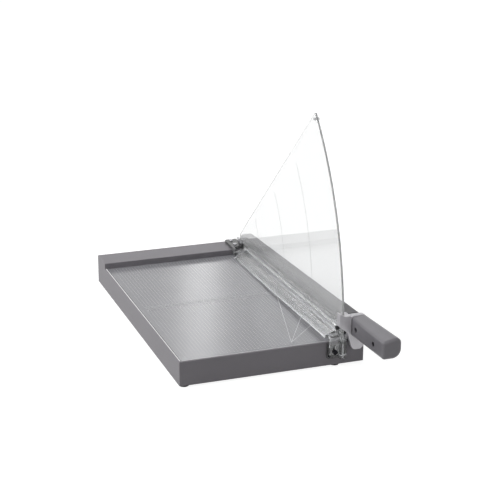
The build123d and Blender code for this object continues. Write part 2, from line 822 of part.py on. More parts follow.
tilt = radians(clamp_lift)
bar_back = -clamp_tail
bar_front = pin_y
tab_back = pin_y + front_plate_thickness + tab_gap
tab_front = tab_back + tab_thickness
bar_low = clamp_seat - pin_rise
bar_top = bar_low + clamp_height
plug_length = 3.0
plug_height = 5.0
plug_sink = 0.4
plug_low = bar_top - plug_sink - plug_height
shelf_end = -1.5
raised_guide = guide_z - pin_z - tab_back * sin(tilt)
slot_low = raised_guide - guide_radius - ledge_gap
slot_high = guide_z - pin_z + guide_radius + ledge_gap
slot_width = 2 * guide_radius + 0.4
hinge_length = 14.0
lug_space = mount_left + lug_width + hinge_play
spring_width = 5.0
spring_left = lug_space + 3.5
hinge_rise = pin_radius + 2.2


def along(distance):
    """The plane across the press bar, at a distance from its hinge pin towards the front.

    Its sketches are in (x, height over the pin) and grow to the front. It is tilted with the bar.
    """
    middle = (left_x, front_y + pin_y - distance * cos(tilt), pin_z + distance * sin(tilt))
    return Plane(origin=middle, x_dir=(1, 0, 0), z_dir=(0, -cos(tilt), sin(tilt)))


def bar_block(x, reach, height, mode=Mode.ADD):
    """A box in the press bar's own frame: places along X, reach from the pin, height over the pin."""
    with BuildSketch(along(reach[0])) as box_end:
        with Locations(((x[0] + x[1]) / 2, (height[0] + height[1]) / 2)):
            Rectangle(x[1] - x[0], height[1] - height[0])
    extrude(box_end.sketch, amount=reach[1] - reach[0], mode=mode)


rib_left = clamp_right - rib_width
flute_count = 6
flute_radius = 0.8
flute_depth = 0.45
groove_radius = 0.5
rib_round = 0.8
shelf_top = bar_low + rib_root
edge_top = bar_low + clamp_edge
with BuildPart() as clamp_bar:
    with BuildSketch(along(bar_back)) as bar_section:
        with BuildLine():
            Polyline(
                (clamp_left, bar_low),
                (clamp_right, bar_low),
                (clamp_right, bar_top),
                (rib_left, bar_top),
                (rib_left, shelf_top),
                (clamp_left, edge_top),
                (clamp_left, bar_low),
            )
        make_face()
        fillet(bar_section.vertices().group_by(Axis.Y)[-1], rib_round)
        shelf_width = rib_left - clamp_left
        for flute in range(flute_count):
            share = (flute + 0.5) / flute_count
            flute_x = clamp_left + share * shelf_width
            flute_z = edge_top + share * (shelf_top - edge_top)
            with Locations((flute_x, flute_z + flute_radius - flute_depth)):
                Circle(flute_radius, mode=Mode.SUBTRACT)
        with Locations((clamp_right - rib_width / 2, bar_top)):
            Circle(groove_radius, mode=Mode.SUBTRACT)
    extrude(amount=bar_front - plug_length - bar_back)
    bar_block((clamp_left, rib_left), (bar_front - plug_length, bar_front), (bar_low, shelf_end))
    bar_block((rib_left, clamp_right), (bar_front - plug_length, bar_front), (bar_low, plug_low))
    bar_block((tab_right - tab_width, tab_right), (bar_front, tab_front), (bar_low, tab_top))
    bar_block((tab_right - tab_width, tab_right), (tab_back, tab_front), (-tab_drop, tab_top))
    bar_block(
        (guide_x - slot_width / 2, guide_x + slot_width / 2),
        (tab_back, tab_front),
        (slot_low, slot_high),
        mode=Mode.SUBTRACT,
    )
    bar_block((clamp_left, lug_space), (bar_back, hinge_length), (bar_low, bar_top), mode=Mode.SUBTRACT)
    bar_block((clamp_left, clamp_right), (bar_back, hinge_length), (hinge_rise, bar_top), mode=Mode.SUBTRACT)
    bar_block(
        (spring_left, spring_left + spring_width),
        (bar_back, hinge_length / 2),
        (bar_low, bar_top),
        mode=Mode.SUBTRACT,
    )
    rod((clamp_left, clamp_right), pin_y, pin_z, pin_radius + running_play, mode=Mode.SUBTRACT)
clamp_bar.part.label = "clamp_bar"

with BuildPart() as clamp_end_plug:
    bar_block((rib_left, clamp_right), (bar_front - plug_length, bar_front), (plug_low, bar_top - plug_sink))
clamp_end_plug.part.label = "clamp_end_plug"

with BuildPart() as clamp_hinge_pin:
    rod((mount_left, guard_right), pin_y, pin_z, pin_radius)
clamp_hinge_pin.part.label = "clamp_hinge_pin"

spring_wire = 0.35
spring_radius = pin_radius + 0.9
spring_turns = 3
spring_leg = 6.0
spring_short_leg = 3.0
coil_x = spring_left + 1.2
coil_pitch = (spring_width - 2.4) / spring_turns
with BuildPart() as clamp_spring:
    with BuildLine() as spring_path:
        coil_start = seat(coil_x, pin_y, pin_z, RIGHT).origin
        coil = Helix(coil_pitch, coil_pitch * spring_turns, spring_radius, coil_start, RIGHT)
        leg_start = Line(coil @ 0, coil @ 0 - (coil % 0) * spring_leg)
        leg_end = Line(coil @ 1, coil @ 1 + (coil % 1) * spring_short_leg)
    with BuildSketch(Plane(origin=leg_start @ 1, z_dir=coil % 0)) as wire:
        Circle(spring_wire)
    sweep(path=spring_path.line, is_frenet=True)
clamp_spring.part.label = "clamp_spring"

with BuildPart() as clamp_guide_screw:
    guide_head_y = -(front_plate_thickness + tab_gap + tab_thickness + guide_play)
    with Locations(seat(guide_x, guide_head_y, guide_z, FRONT)):
        Cylinder(guide_head_radius, pan_height, align=LOW)
        Cylinder(guide_radius, guide_screw_length - guide_head_y, align=HIGH)
    guide_head_face = seat(guide_x, guide_head_y - pan_height, guide_z, FRONT)
    cross_recess(guide_head_face, guide_radius, pan_recess_depth * pan_height)
clamp_guide_screw.part.label = "clamp_guide_screw"

# ---------------------------------------------------------------- lever arm


def arm_section(y, width, top, left_top, inset):
    """The arm's outline at y, or its cavity, which lies inside it by the inset."""
    with BuildSketch(facing(y)) as section:
        with BuildLine():
            Polyline(
                (arm_x + inset, arm_low),
                (arm_x + inset, left_top - 0.5 * inset),
                (arm_x + ridge_inset + 0.4 * inset, top - inset),
                (arm_x + width - inset, top - inset),
                (arm_x + width - inset, arm_low),
                (arm_x + inset, arm_low),
            )
        make_face()
    return section.sketch


def arm_loft(inset, mode):
    """The arm's tapered body, or its cavity, from its front end to its rear end."""
    front = arm_section(arm_front, arm_width_front, arm_top_front, arm_left_front, inset)
    back = arm_section(arm_back - inset, arm_width_back, arm_top_back, arm_left_back, inset)
    loft([front, back], ruled=True, mode=mode)


bushing_radius = stud_radius + running_play + bushing_wall
arm_screw_count = 6
blade_heel = 13.5
upper_front = 4.5
upper_back = pivot_y - blade_heel
upper_sink = 4.0
edge_drop_front = 4.2
edge_drop_middle = 7.7
edge_drop_back = 1.7
arm_fall = (arm_left_front - arm_left_back) / (arm_back - arm_front)
upper_top_front = arm_left_front - upper_sink
upper_top_back = upper_top_front - arm_fall * (upper_back - upper_front)
edge_front = arm_low - edge_drop_front
edge_middle = arm_low - edge_drop_middle
edge_back = arm_low - edge_drop_back
upper_pitch = (upper_back - arm_front) / arm_screw_count
upper_screw_ys = [arm_front + upper_pitch * (n + 0.5) for n in range(arm_screw_count)]
upper_screw_drop = 7.0
upper_screw_top = upper_top_front - upper_screw_drop
upper_screws = [(y, upper_screw_top - arm_fall * (y - upper_front)) for y in upper_screw_ys]
tongue_screw_inset = 12.0
tongue_screw_rise = 12.8
tongue_screw_z = arm_low + tongue_screw_rise
tongue_screw_ys = [arm_front + tongue_screw_inset, arm_front + tongue_length - tongue_screw_inset]
tongue_screw_length = 11.0

arm_heel_flat = 0.2

with BuildPart() as arm_bar:
    arm_loft(0.0, Mode.ADD)
    heel_edge = arm_bar.edges().filter_by(Axis.X).group_by(Axis.Y)[-1].sort_by(Axis.Z)[0]
    fillet(heel_edge, pivot_z - arm_low - arm_heel_flat)
    long_edges = arm_bar.edges().sort_by(Edge.length)[-5:]
    upper_edges = long_edges.filter_by(lambda edge: edge.center().Z > arm_left_back)
    fillet(upper_edges.sort_by(Axis.X)[-1], arm_edge_radius)
    arm_loft(arm_wall, Mode.SUBTRACT)
    rod((arm_x, arm_x + arm_width_front), pivot_y, pivot_z, bushing_radius, mode=Mode.SUBTRACT)
    for screw_y, screw_z in upper_screws:
        bore(seat(arm_x, screw_y, screw_z, LEFT), m4, arm_wall)
    for screw_y in tongue_screw_ys:
        bore(seat(arm_side(arm_front), screw_y, tongue_screw_z, RIGHT), m4 + screw_play, 2 * arm_wall)
arm_bar.part.label = "arm_bar"

with BuildPart() as arm_bushing:
    ring((arm_x, bushing_right), bushing_radius, stud_radius + running_play)
arm_bushing.part.label = "arm_bushing"

blade_tip_round = 3.0

with BuildPart() as upper_blade:
    with BuildSketch(across(upper_blade_x)) as blade_outline:
        with BuildLine():
            blade_middle = (upper_front + upper_back) / 2
            ThreePointArc((upper_front, edge_front), (blade_middle, edge_middle), (upper_back, edge_back))
            Polyline(
                (upper_back, edge_back),
                (upper_back, upper_top_back),
                (upper_front, upper_top_front),
                (upper_front, edge_front),
            )
        make_face()
        fillet(blade_outline.vertices().sort_by_distance((upper_front, edge_front))[0], blade_tip_round)
    extrude(amount=blade_thickness)
    for screw_y, screw_z in upper_screws:
        flat_bore(seat(upper_blade_x, screw_y, screw_z, LEFT), large_flat, blade_thickness)
upper_blade.part.label = "upper_blade"

with BuildPart() as upper_blade_screws:
    for screw_y, screw_z in upper_screws:
        flat_screw(seat(upper_blade_x, screw_y, screw_z, LEFT), large_flat, blade_thickness + arm_wall + 1)
upper_blade_screws.part.label = "upper_blade_screws"

core_low = grip_root_low + (grip_root_height - core_height) / 2 + core_rise
core_x_span = (core_x - core_play, core_x + core_thickness + core_play)
core_z_span = (core_low - core_play, core_low + core_height + core_play)
core_back = flange_back - 1.2
notch_x = guard_left + 1.3
slot_left = guard_left - slot_play
slot_right = guard_right + slot_play
neck_left = arm_x + arm_wall + tongue_play
neck_right = arm_side(arm_front) - neck_step
neck_low = arm_low + 3.0
tongue_right = arm_side(arm_front + tongue_length) - arm_wall - tongue_play

blade_screw_play = 0.3

with BuildPart() as arm_bracket:
    with BuildSketch(facing(flange_back)) as flange_outline:
        with BuildLine():
            Polyline(
                (flange_x + nose_inset, nose_low),
                (flange_right - 2 * nose_taper, nose_low),
                (flange_right - nose_taper, grip_root_low - nose_step),
                (flange_right, grip_root_low),
                (flange_right, collar_top),
                (flange_x, collar_top),
                (flange_x, ear_low + ear_slope / 2),
                (ear_bend, ear_low + ear_slope / 2),
                (ear_bend, ear_low),
                (flange_x, grip_root_low - nose_step),
                (flange_x + nose_inset, nose_low),
            )
        make_face()
        fillet(flange_outline.vertices().group_by(Axis.Y)[0], nose_round)
        fillet(flange_outline.vertices().group_by(Axis.Y)[-1].sort_by(Axis.X)[0], collar_round)
        fillet(flange_outline.vertices().group_by(Axis.Y)[-1].sort_by(Axis.X)[-1], grip_top_radius)
    extrude(amount=flange_back - flange_front)
    fillet(arm_bracket.faces().sort_by(Axis.Y)[0].edges(), cast_radius)
    fillet(arm_bracket.faces().sort_by(Axis.Y)[-1].edges(), cast_radius)
    with BuildSketch(facing(ear_back)) as ear_outline:
        with BuildLine():
            Polyline(
                (ear_x, ear_low + ear_slope),
                (ear_bend, ear_low),
                (ear_right, ear_low),
                (ear_right, ear_top),
                (notch_x, ear_top),
                (ear_x + finger_tip, finger_top),
                (ear_x, finger_top),
                (ear_x, ear_low + ear_slope),
            )
        make_face()
    extrude(amount=ear_back - ear_front)
    block((slot_right, ear_right), (ear_back, ear_heel), (ear_low, ear_top))
    rod((slot_left, slot_right), pivot_y, pivot_z, guard_radius + slot_depth_play, mode=Mode.SUBTRACT)
    with BuildSketch(facing(arm_front)) as neck_outline:
        with BuildLine():
            Polyline(
                (flange_x, neck_low),
                (flange_x, arm_left_front - neck_step),
                (arm_x + ridge_inset, arm_top_front - neck_step),
                (neck_right, arm_top_front - neck_step),
                (neck_right, neck_low),
                (flange_x, neck_low),
            )
        make_face()
    extrude(amount=arm_front - flange_back)
    block(
        (neck_left, tongue_right),
        (arm_front - 1.0, arm_front + tongue_length),
        (arm_low + tongue_inset, arm_left_front - tongue_inset),
    )
    block(core_x_span, (flange_front, core_back), core_z_span, mode=Mode.SUBTRACT)
    for screw_y in tongue_screw_ys:
        bore(seat(arm_side(arm_front), screw_y, tongue_screw_z, RIGHT), m4, tongue_screw_length + 2.0)
    for screw_y, screw_z in upper_screws[:1]:
        bore(seat(arm_x, screw_y, screw_z, LEFT), m4 + blade_screw_play, 2 * arm_wall)
arm_bracket.part.label = "arm_bracket"

head_clearance = 0.05

with BuildPart() as arm_bracket_screws:
    for screw_y in tongue_screw_ys:
        head_seat = seat(arm_side(screw_y) + head_clearance, screw_y, tongue_screw_z, RIGHT)
        pan_screw(head_seat, m4, tongue_screw_length, pan_height)
arm_bracket_screws.part.label = "arm_bracket_screws"

# ---------------------------------------------------------------- grip

grip_root = flange_front
grip_end = -grip_reach
grip_screw_length = 15.0
grip_head_radius = 3.2
grip_head_height = 2.0
grip_recess = 5.0
grip_recess_radius = 3.8
grip_root_screw = 13.9
grip_end_screw = 30.5
grip_screw_ys = [grip_root - grip_root_screw, grip_end + grip_end_screw]
grip_screw_z = core_low + core_height / 2 - 1.0
grip_screw_floor = grip_x + grip_recess
core_front = grip_end + core_end_gap


def grip_section(y, left, right, low, height, tilt):
    """The grip's outline at y, flat on the left. The tilt is the rise of its crowned top to the right."""
    top = low + height
    crown = ((left + right) / 2, top + tilt / 2 + grip_crown)
    corners = [
        ((left, low), grip_left_radius),
        ((right, low), grip_under_radius),
        ((right, top + tilt), grip_top_radius),
        ((left, top), grip_left_radius),
    ]
    with BuildSketch(facing(y)) as section:
        with BuildLine():
            Polyline(corners[3][0], corners[0][0], corners[1][0], corners[2][0])
            ThreePointArc(corners[2][0], crown, corners[3][0])
        make_face()
        for corner, radius in corners:
            fillet(section.vertices().sort_by_distance(corner)[0], radius)
    return section.sketch


with BuildPart() as grip_blank:
    root_right = grip_right - grip_root_inset
    root_section = grip_section(
        grip_root, grip_x, root_right, grip_root_low, grip_root_height, grip_root_tilt
    )
    end_section = grip_section(
        grip_end, grip_x + grip_flare, grip_right, grip_end_low, grip_end_height, grip_end_tilt
    )
    loft([root_section, end_section], ruled=True)
    fillet(grip_blank.faces().sort_by(Axis.Y)[0].edges(), grip_end_round)
    block(core_x_span, (core_front - core_play, grip_root), core_z_span, mode=Mode.SUBTRACT)
    for screw_y in grip_screw_ys:
        floor_seat = seat(grip_screw_floor, screw_y, grip_screw_z, LEFT)
        bore(floor_seat, m3, grip_screw_length + 1)
        bore(floor_seat.offset(grip_recess), grip_recess_radius, grip_recess)

grip_plane = Plane(origin=(left_x + grip_split, 0, 0), z_dir=(1, 0, 0))
with BuildPart() as grip_left:
    add(grip_blank.part)
    split(bisect_by=grip_plane, keep=Keep.BOTTOM)
grip_left.part.label = "grip_left"

with BuildPart() as grip_right_half:
    add(grip_blank.part)
    split(bisect_by=grip_plane, keep=Keep.TOP)
grip_right_half.part.label = "grip_right"

with BuildPart() as handle_core:
    block((core_x, core_x + core_thickness), (core_front, core_back), (core_low, core_low + core_height))
    for screw_y in grip_screw_ys:
        rod((core_x, core_x + core_thickness), screw_y, grip_screw_z, m3 + core_play, mode=Mode.SUBTRACT)
handle_core.part.label = "handle_core"

grip_recess_depth = 1.2

with BuildPart() as grip_screws:
    for screw_y in grip_screw_ys:
        head_seat = seat(grip_screw_floor, screw_y, grip_screw_z, LEFT)
        with Locations(head_seat):
            Cylinder(grip_head_radius, grip_head_height, align=LOW)
            Cylinder(m3, grip_screw_length, align=HIGH)
        cross_recess(head_seat.offset(grip_head_height), m3, grip_recess_depth)
grip_screws.part.label = "grip_screws"

# ---------------------------------------------------------------- files

os.makedirs("parts", exist_ok=True)
export_step(base_shell.part, "parts/base_shell.step")
export_step(table_plate.part, "parts/table_plate.step")
export_step(back_rail.part, "parts/back_rail.step")
export_step(side_rail.part, "parts/side_rail.step")
export_step(side_rail_front_cap.part, "parts/side_rail_front_cap.step")
export_step(side_rail_rear_cap.part, "parts/side_rail_rear_cap.step")
export_step(bottom_plate.part, "parts/bottom_plate.step")
export_step(bottom_screws.part, "parts/bottom_screws.step")
export_step(foot_front_left.part, "parts/foot_front_left.step")
export_step(foot_front_right.part, "parts/foot_front_right.step")
export_step(foot_rear_left.part, "parts/foot_rear_left.step")
export_step(foot_rear_right.part, "parts/foot_rear_right.step")
export_step(foot_screws.part, "parts/foot_screws.step")
export_step(rail_screws.part, "parts/rail_screws.step")
export_step(lower_blade.part, "parts/lower_blade.step")
export_step(lower_blade_screws.part, "parts/lower_blade_screws.step")
export_step(pivot_bracket.part, "parts/pivot_bracket.step")
export_step(pivot_bracket_screws.part, "parts/pivot_bracket_screws.step")
export_step(pivot_stud.part, "parts/pivot_stud.step")
export_step(pivot_spacer.part, "parts/pivot_spacer.step")
export_step(pivot_washer.part, "parts/pivot_washer.step")
export_step(pivot_disc_springs.part, "parts/pivot_disc_springs.step")
export_step(pivot_lock_nut.part, "parts/pivot_lock_nut.step")
export_step(guard_plate.part, "parts/guard_plate.step")
export_step(guard_stop.part, "parts/guard_stop.step")
export_step(guard_rear_mount.part, "parts/guard_rear_mount.step")
export_step(guard_rear_screws.part, "parts/guard_rear_screws.step")
export_step(guard_mount_screws.part, "parts/guard_mount_screws.step")
export_step(guard_front_mount.part, "parts/guard_front_mount.step")
export_step(guard_front_screws.part, "parts/guard_front_screws.step")
export_step(guard_leg_screw.part, "parts/guard_leg_screw.step")
export_step(stop_pad.part, "parts/stop_pad.step")
export_step(clamp_bar.part, "parts/clamp_bar.step")
export_step(clamp_end_plug.part, "parts/clamp_end_plug.step")
export_step(clamp_hinge_pin.part, "parts/clamp_hinge_pin.step")
export_step(clamp_spring.part, "parts/clamp_spring.step")
export_step(clamp_guide_screw.part, "parts/clamp_guide_screw.step")
export_step(arm_bar.part, "parts/arm_bar.step")
export_step(arm_bushing.part, "parts/arm_bushing.step")
export_step(upper_blade.part, "parts/upper_blade.step")
export_step(upper_blade_screws.part, "parts/upper_blade_screws.step")
export_step(arm_bracket.part, "parts/arm_bracket.step")
export_step(arm_bracket_screws.part, "parts/arm_bracket_screws.step")
export_step(handle_core.part, "parts/handle_core.step")
export_step(grip_left.part, "parts/grip_left.step")
export_step(grip_right_half.part, "parts/grip_right.step")
export_step(grip_screws.part, "parts/grip_screws.step")
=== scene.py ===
import json
import math

import bpy
from mathutils import Matrix, Vector


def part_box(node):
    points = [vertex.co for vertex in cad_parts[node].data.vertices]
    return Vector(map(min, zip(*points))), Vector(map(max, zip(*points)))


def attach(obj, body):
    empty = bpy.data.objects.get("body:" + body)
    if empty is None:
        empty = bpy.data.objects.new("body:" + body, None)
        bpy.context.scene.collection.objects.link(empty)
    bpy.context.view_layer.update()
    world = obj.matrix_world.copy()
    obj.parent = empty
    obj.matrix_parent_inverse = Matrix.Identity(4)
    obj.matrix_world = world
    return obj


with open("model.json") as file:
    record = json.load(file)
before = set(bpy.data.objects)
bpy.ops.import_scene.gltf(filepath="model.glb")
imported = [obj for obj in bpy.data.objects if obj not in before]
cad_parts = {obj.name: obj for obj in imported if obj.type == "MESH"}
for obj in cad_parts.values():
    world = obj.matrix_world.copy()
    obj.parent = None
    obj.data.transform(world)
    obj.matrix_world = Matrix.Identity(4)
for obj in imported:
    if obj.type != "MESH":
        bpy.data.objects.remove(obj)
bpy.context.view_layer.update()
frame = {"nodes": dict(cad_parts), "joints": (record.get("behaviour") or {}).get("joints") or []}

MM = 0.001
CM = 10 * MM
nodes = frame["nodes"]
joints = {joint["name"]: joint for joint in frame["joints"]}


# ------------------------------------------------------------------ small helpers

def srgb(code):
    """The linear colour, with alpha, of an sRGB hex code."""
    channels = [int(code[i:i + 2], 16) / 255 for i in (1, 3, 5)]
    linear = [c / 12.92 if c <= 0.04045 else ((c + 0.055) / 1.055) ** 2.4 for c in channels]
    return (*linear, 1.0)


def node(tree, kind, values=None, **settings):
    """Adds one node with its settings. Its inputs take plain values or other nodes' sockets."""
    new = tree.nodes.new(kind)
    for name, value in settings.items():
        setattr(new, name, value)
    for key, value in (values or {}).items():
        if isinstance(value, bpy.types.NodeSocket):
            tree.links.new(value, new.inputs[key])
        else:
            new.inputs[key].default_value = value
    return new


def finish(name, colour, roughness, metallic=0.0, **more):
    """A new material with one Principled shader, and its node tree."""
    material = bpy.data.materials.new(name)
    material.use_nodes = True
    tree = material.node_tree
    shader = tree.nodes["Principled BSDF"]
    shader.inputs["Base Color"].default_value = srgb(colour)
    shader.inputs["Roughness"].default_value = roughness
    shader.inputs["Metallic"].default_value = metallic
    for title, value in more.items():
        shader.inputs[title.replace("_", " ")].default_value = value
    return material, tree, shader


def object_space(tree, scale=(1, 1, 1)):
    """Object coordinates in metres, times a scale along each axis."""
    coords = node(tree, "ShaderNodeTexCoord")
    mapping = node(tree, "ShaderNodeMapping", {"Vector": coords.outputs["Object"], "Scale": scale})
    return mapping.outputs["Vector"]


def tint(tree, shader, factor, dark, light):
    """Runs the base colour from dark to light with a factor."""
    mix = node(tree, "ShaderNodeMix", {"Factor": factor}, data_type="RGBA")
    mix.inputs["A"].default_value = srgb(dark)
    mix.inputs["B"].default_value = srgb(light)
    tree.links.new(mix.outputs["Result"], shader.inputs["Base Color"])


def bump(tree, shader, height, strength, depth):
    """Raises the surface by a height pattern, as deep as given in metres."""
    raised = node(tree, "ShaderNodeBump", {
        "Height": height, "Strength": strength, "Distance": depth,
    })
    tree.links.new(raised.outputs["Normal"], shader.inputs["Normal"])


def spread(tree, shader, factor, low, high):
    """Runs the roughness from low to high with a factor."""
    ramp = node(tree, "ShaderNodeMapRange", {"Value": factor, "To Min": low, "To Max": high})
    tree.links.new(ramp.outputs["Result"], shader.inputs["Roughness"])


# ------------------------------------------------------------------ materials

# The widths and lengths of each surface's pattern. Real grinding and turning marks are a few
# hundredths of a millimetre wide: they are drawn coarser.
COAT_CLOUD = 55.6 * MM
CAST_GRAIN, CAST_CLOUD = 0.5 * MM, 16.7 * MM
ABS_GRAIN, ABS_CLOUD = 0.45 * MM, 28.6 * MM
RUBBER_BLOOM = 2.5 * MM
WIPE_WIDTH, WIPE_LENGTH = 8.33 * MM, 25 * MM
BRONZE_PORE = 0.4 * MM
INK_PATCH = 1.11 * MM
SCRATCH_WIDTH, GRINDING_LENGTH, TURNING_LENGTH = 0.111 * MM, 16.7 * MM, 5 * MM
# The scales that draw scratches out along x or along y, and wipe marks along y.
CROSSWISE = (1 / TURNING_LENGTH, 1 / SCRATCH_WIDTH, 1 / SCRATCH_WIDTH)
LENGTHWISE = (1 / SCRATCH_WIDTH, 1 / GRINDING_LENGTH, 1 / SCRATCH_WIDTH)
WIPED = (1 / WIPE_WIDTH, 1 / WIPE_LENGTH, 1 / WIPE_WIDTH)


def powder_coat(name, dark, light, peel_width, roughness):
    """Powder-coated sheet steel: a satin coat with a fine orange peel and a faint cloudiness."""
    material, tree, shader = finish(name, light, roughness, IOR=1.5)
    peel = node(tree, "ShaderNodeTexNoise", {
        "Vector": object_space(tree), "Scale": 1 / peel_width, "Detail": 2.0,
    })
    cloud = node(tree, "ShaderNodeTexNoise", {
        "Vector": object_space(tree), "Scale": 1 / COAT_CLOUD, "Detail": 3.0,
    })
    tint(tree, shader, cloud.outputs["Fac"], dark, light)
    spread(tree, shader, peel.outputs["Fac"], low=roughness - 0.06, high=roughness + 0.06)
    bump(tree, shader, peel.outputs["Fac"], strength=0.18, depth=0.05 * MM)
    return material


def machined_steel(name, dark, light, stretch, roughness):
    """Ground or turned steel: a metal shine broken by fine scratches along one direction."""
    material, tree, shader = finish(name, light, roughness, metallic=1.0)
    lines = node(tree, "ShaderNodeTexNoise", {
        "Vector": object_space(tree, stretch), "Scale": 1.0, "Detail": 4.0,
    })
    tint(tree, shader, lines.outputs["Fac"], dark, light)
    spread(tree, shader, lines.outputs["Fac"], low=roughness - 0.08, high=roughness + 0.08)
    bump(tree, shader, lines.outputs["Fac"], strength=0.15, depth=0.02 * MM)
    return material


def die_cast(name, dark, light):
    """Die-cast aluminium with a silver lacquer: bright, a little grainy, soft highlights."""
    material, tree, shader = finish(name, light, roughness=0.36, metallic=0.3)
    grain = node(tree, "ShaderNodeTexNoise", {
        "Vector": object_space(tree), "Scale": 1 / CAST_GRAIN, "Detail": 3.0,
    })
    cloud = node(tree, "ShaderNodeTexNoise", {
        "Vector": object_space(tree), "Scale": 1 / CAST_CLOUD, "Detail": 2.0,
    })
    tint(tree, shader, cloud.outputs["Fac"], dark, light)
    bump(tree, shader, grain.outputs["Fac"], strength=0.2, depth=0.05 * MM)
    return material


def moulded_abs(name, dark, light, roughness):
    """Moulded ABS: its shine is softened by a fine spark-eroded grain."""
    material, tree, shader = finish(name, light, roughness, IOR=1.5)
    grain = node(tree, "ShaderNodeTexNoise", {
        "Vector": object_space(tree), "Scale": 1 / ABS_GRAIN, "Detail": 3.0,
    })
    cloud = node(tree, "ShaderNodeTexNoise", {
        "Vector": object_space(tree), "Scale": 1 / ABS_CLOUD, "Detail": 2.0,
    })
    tint(tree, shader, cloud.outputs["Fac"], dark, light)
    spread(tree, shader, grain.outputs["Fac"], low=roughness - 0.05, high=roughness + 0.07)
    bump(tree, shader, grain.outputs["Fac"], strength=0.22, depth=0.06 * MM)
    return material


def rubber(name, dark, light):
    """Black moulded rubber, dull with a dusty bloom."""
    material, tree, shader = finish(name, dark, roughness=0.75, IOR=1.52)
    bloom = node(tree, "ShaderNodeTexNoise", {
        "Vector": object_space(tree), "Scale": 1 / RUBBER_BLOOM, "Detail": 4.0,
    })
    tint(tree, shader, bloom.outputs["Fac"], dark, light)
    bump(tree, shader, bloom.outputs["Fac"], strength=0.3, depth=0.08 * MM)
    return material


def clear_plastic(name, colour, haze, roughness, gloss):
    """Clear acrylic or polycarbonate. The haze is the share of light that its handled surface
    scatters, and faint wipe marks make its mirror images uneven."""
    material, tree, shader = finish(name, colour, roughness, IOR=1.49, Specular_IOR_Level=gloss)
    shader.inputs["Transmission Weight"].default_value = 1.0 - haze
    wipe_marks = node(tree, "ShaderNodeTexNoise", {
        "Vector": object_space(tree, WIPED), "Scale": 1.0, "Detail": 3.0,
    })
    spread(tree, shader, wipe_marks.outputs["Fac"], low=roughness / 2, high=roughness * 1.5)
    return material


def bronze(name, dark, light):
    """Sintered bronze: warm, porous and oil-soaked."""
    material, tree, shader = finish(name, light, roughness=0.42, metallic=1.0)
    pores = node(tree, "ShaderNodeTexNoise", {
        "Vector": object_space(tree), "Scale": 1 / BRONZE_PORE, "Detail": 2.0,
    })
    tint(tree, shader, pores.outputs["Fac"], dark, light)
    bump(tree, shader, pores.outputs["Fac"], strength=0.3, depth=0.03 * MM)
    return material


def printing_ink(name, colour):
    """Screen-printed ink, flat and duller than the coat below it, in faint patches; the same flat
    finish paints the edge highlights.
    """
    material, tree, shader = finish(name, colour, roughness=0.55, IOR=1.48)
    patches = node(tree, "ShaderNodeTexNoise", {
        "Vector": object_space(tree), "Scale": 1 / INK_PATCH, "Detail": 2.0,
    })
    spread(tree, shader, patches.outputs["Fac"], low=0.45, high=0.65)
    return material


body_paint = powder_coat("graphite_powder_coat", "#777479", "#817e83", 0.5 * MM, roughness=0.5)
table_paint = powder_coat("table_powder_coat", "#858589", "#8e8e92", 0.4 * MM, roughness=0.2)
floor_paint = powder_coat("black_zinc_plate", "#3c3c3f", "#48484b", 0.6 * MM, roughness=0.45)
arm_paint = powder_coat("arm_powder_coat", "#3c3a3f", "#444247", 0.45 * MM, roughness=0.34)
blade_steel = machined_steel("ground_blade_steel", "#b4b4b6", "#d2d2d4", LENGTHWISE, roughness=0.28)
pivot_steel = machined_steel("turned_steel", "#a0a0a2", "#c4c4c6", CROSSWISE, roughness=0.3)
screw_steel = machined_steel("zinc_plated_steel", "#b0b0b4", "#d6d6da", CROSSWISE, roughness=0.26)
black_steel = machined_steel("blackened_steel", "#17171a", "#26262a", CROSSWISE, roughness=0.4)
cast_silver = die_cast("silver_die_casting", "#cccace", "#d8d6da")
grip_plastic = moulded_abs("grey_abs", "#747277", "#7c7a7f", roughness=0.3)
black_plastic = moulded_abs("black_abs", "#141416", "#1c1c1e", roughness=0.45)
foot_rubber = rubber("black_rubber", "#0c0c0d", "#1a1a1c")
clear_sheet = clear_plastic(
    "clear_acrylic_sheet", "#fafbfb", haze=0.18, roughness=0.01, gloss=0.3,
)
clear_moulding = clear_plastic(
    "clear_moulded_polycarbonate", "#f4f5f6", haze=0.08, roughness=0.012, gloss=0.5,
)
bushing_bronze = bronze("sintered_bronze", "#8a6a3c", "#a98450")
light_ink_and_highlight = printing_ink("light_grey_ink_and_highlight", "#e2e2e5")
ink_dark = printing_ink("dark_grey_ink", "#77767b")
# A painted highlight: the bright line where light catches the shell's rounded left fold, painted
# light and flat in the ink's plain finish.
painted_edge_highlight = printing_ink("rim_highlight_paint", "#f4f4f5")

node_finishes = {
    body_paint: [
        "base_shell", "back_rail", "side_rail", "side_rail_front_cap", "side_rail_rear_cap",
    ],
    table_paint: ["table_plate"],
    floor_paint: ["bottom_plate"],
    arm_paint: ["arm_bar"],
    blade_steel: ["lower_blade", "upper_blade"],
    pivot_steel: [
        "pivot_bracket", "pivot_stud", "pivot_spacer", "pivot_washer", "pivot_disc_springs",
        "pivot_lock_nut", "clamp_hinge_pin", "clamp_spring", "guard_stop", "handle_core",
    ],
    screw_steel: [
        "bottom_screws", "foot_screws", "rail_screws", "lower_blade_screws",
        "pivot_bracket_screws", "upper_blade_screws", "arm_bracket_screws",
        "guard_rear_screws", "guard_mount_screws", "guard_leg_screw",
    ],
    black_steel: ["guard_front_screws", "clamp_guide_screw", "grip_screws"],
    cast_silver: ["arm_bracket"],
    grip_plastic: ["grip_left", "grip_right"],
    black_plastic: ["clamp_end_plug"],
    foot_rubber: [
        "foot_front_left", "foot_front_right", "foot_rear_left", "foot_rear_right", "stop_pad",
    ],
    clear_sheet: ["guard_plate"],
    clear_moulding: ["guard_rear_mount", "guard_front_mount", "clamp_bar"],
    bushing_bronze: ["arm_bushing"],
}
for material, names in node_finishes.items():
    for name in names:
        mesh = nodes[name].data
        mesh.materials.clear()
        mesh.materials.append(material)
